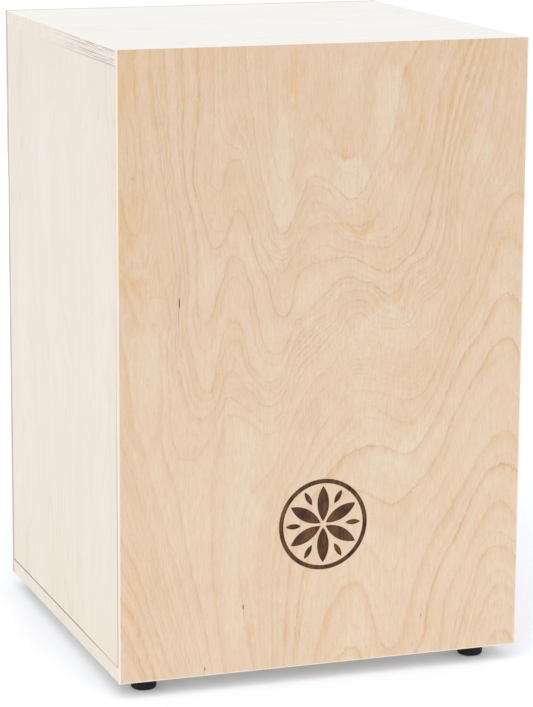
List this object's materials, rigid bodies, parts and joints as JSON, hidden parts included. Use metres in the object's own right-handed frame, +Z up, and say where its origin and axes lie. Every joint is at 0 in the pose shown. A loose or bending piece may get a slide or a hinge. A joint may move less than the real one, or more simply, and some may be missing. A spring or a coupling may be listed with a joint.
{
  "type": "cajon",
  "caption": "Small box drum of birch plywood on rubber feet, with a thin flame-grained playing surface, a round rear sound hole and a screw-adjusted snare carrier inside.",
  "frame": {"origin": "on the floor, under the middle of the box", "axes": "+Z up; -Y out of the playing surface; +Y out of the sound hole; +X to the right when facing the playing surface"},
  "size_m": [0.3, 0.298, 0.454],
  "materials": {
    "flamed_birch": "oiled satin rotary-cut birch veneer with flame grain",
    "pale_birch_ply": "bleached, matt-lacquered birch plywood",
    "softwood_batten": "planed, unfinished spruce",
    "black_rubber": "matt moulded rubber",
    "zinc_screw": "zinc plated",
    "steel_wire": "bright spring steel",
    "nickel_knob": "knurled, nickel plated",
    "brass": "turned",
    "grey_felt": "pressed wool felt"
  },
  "bodies": {
    "box": {"playing_surface": "flamed_birch", "top_panel": "pale_birch_ply", "bottom_panel": "pale_birch_ply", "left_side_panel": "pale_birch_ply", "right_side_panel": "pale_birch_ply", "back_panel": "pale_birch_ply", "front_left_post": "softwood_batten", "front_right_post": "softwood_batten", "rear_left_post": "softwood_batten", "rear_right_post": "softwood_batten", "top_left_cleat": "softwood_batten", "top_right_cleat": "softwood_batten", "bottom_left_cleat": "softwood_batten", "bottom_right_cleat": "softwood_batten", "threaded_insert_left": "brass", "threaded_insert_right": "brass", "back_panel_screws": "zinc_screw", "rubber_foot_front_left": "black_rubber", "rubber_foot_front_right": "black_rubber", "rubber_foot_rear_left": "black_rubber", "rubber_foot_rear_right": "black_rubber", "foot_washers": "zinc_screw", "foot_screws": "zinc_screw"},
    "snare_carrier": {"snare_beam": "softwood_batten", "snare_clip_left": "steel_wire", "snare_clip_right": "steel_wire", "snare_strands_left": "steel_wire", "snare_strands_right": "steel_wire", "snare_clip_screws": "zinc_screw", "snare_damping_felt": "grey_felt", "thumb_screw_washers": "zinc_screw"},
    "thumb_screw_left": {"thumb_screw_left": "nickel_knob"},
    "thumb_screw_right": {"thumb_screw_right": "nickel_knob"}
  },
  "joints": [
    {"name": "snare_travel", "type": "slide", "parent": "box", "child": "snare_carrier", "axis": [0, 1, 0], "range_m": [0, 0.004]},
    {"name": "thumb_screw_left_turn", "type": "hinge", "parent": "snare_carrier", "child": "thumb_screw_left", "pos_m": [-0.1302, -0.1086, 0.305], "axis": [0, 1, 0], "range_deg": [0, 1440]},
    {"name": "thumb_screw_right_turn", "type": "hinge", "parent": "snare_carrier", "child": "thumb_screw_right", "pos_m": [0.1302, -0.1086, 0.305], "axis": [0, 1, 0], "range_deg": [0, 1440]}
  ],
  "couplings": [
    {"joint": "thumb_screw_left_turn", "follows": "snare_travel", "rad_per_m": 6283.2},
    {"joint": "thumb_screw_right_turn", "follows": "snare_travel", "rad_per_m": 6283.2}
  ]
}
